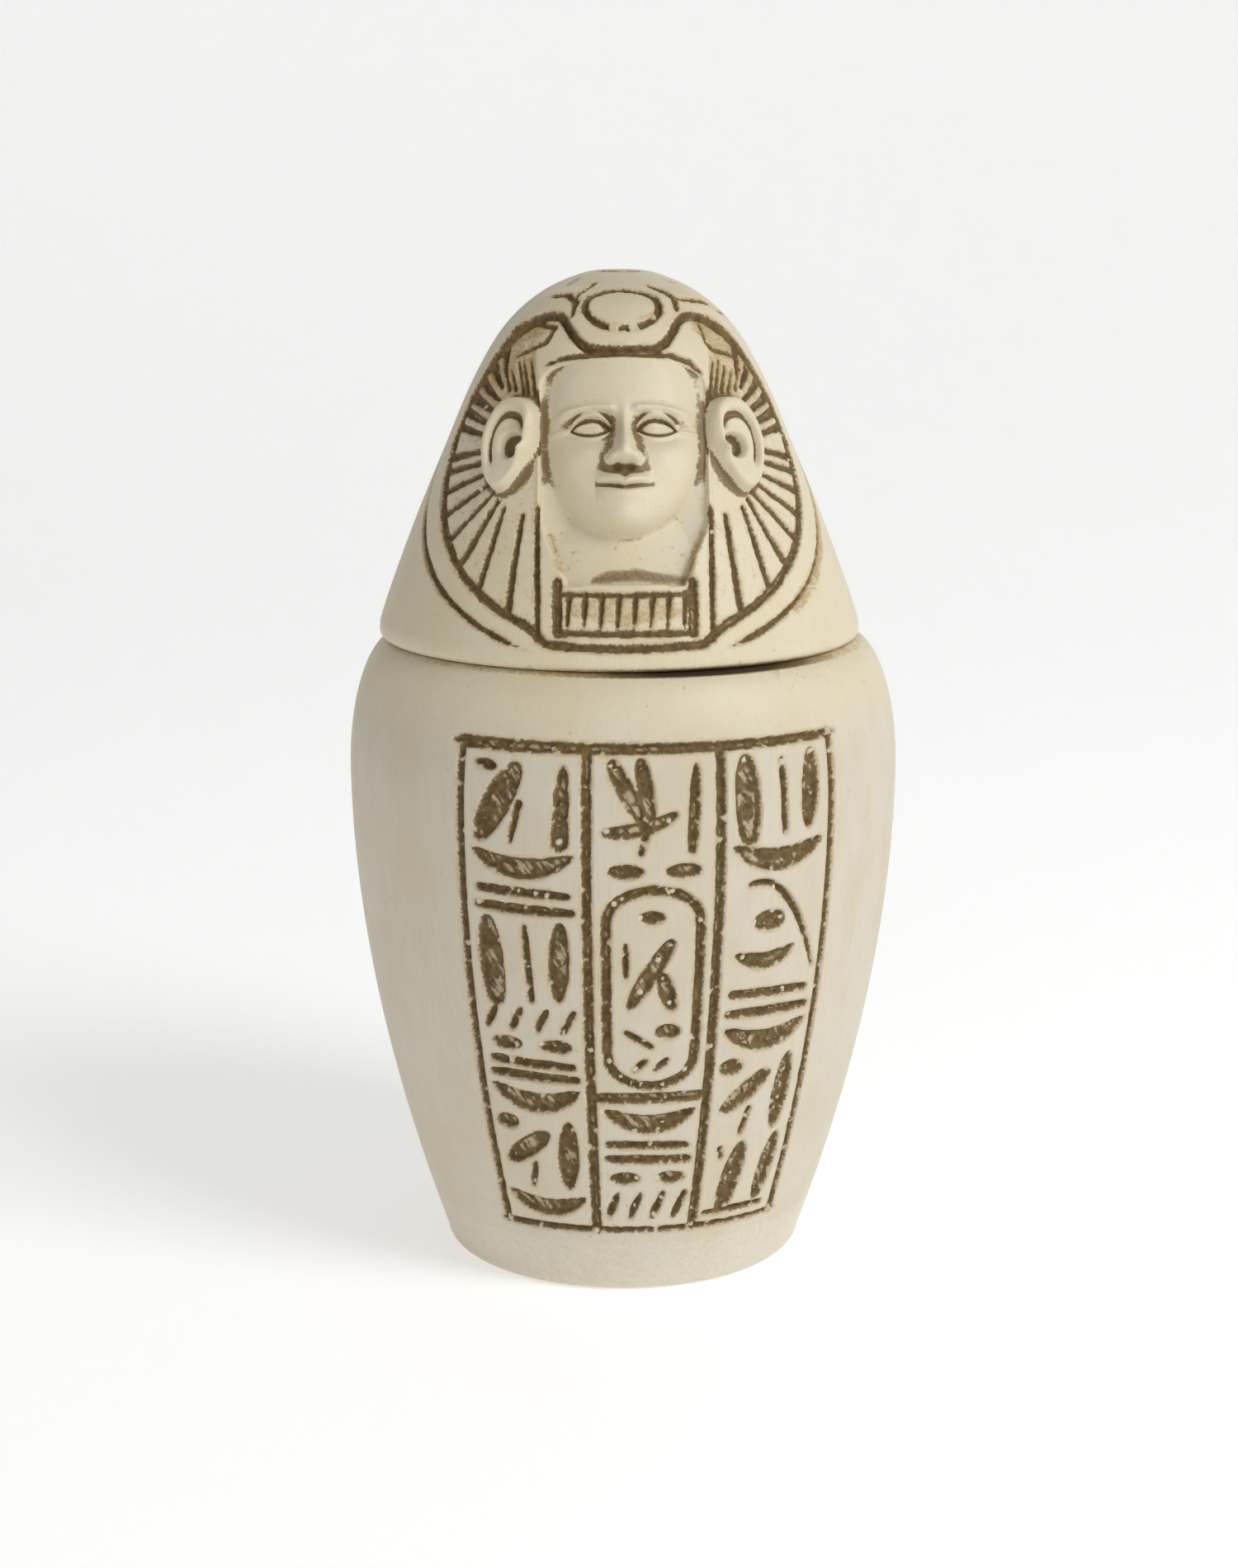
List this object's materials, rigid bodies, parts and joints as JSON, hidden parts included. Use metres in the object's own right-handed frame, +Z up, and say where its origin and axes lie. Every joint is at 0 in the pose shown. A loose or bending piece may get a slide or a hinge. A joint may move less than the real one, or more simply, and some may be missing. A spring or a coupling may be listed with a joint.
{
  "type": "canopic jar",
  "caption": "Souvenir canopic jar cast in cream stone resin with brown patina: a hollow carved jar and a loose lid shaped as a head in a striped wig.",
  "frame": {"origin": "centre of the jar's flat underside", "axes": "+Z up, -Y towards the side that the face looks to, +X to a viewer's right"},
  "size_m": [0.0834, 0.0834, 0.15],
  "materials": {
    "cream_stone": "satin cream cast stone with brown patina in its carving"
  },
  "bodies": {
    "root": {"jar": "cream_stone", "lid": "cream_stone"}
  },
  "joints": []
}
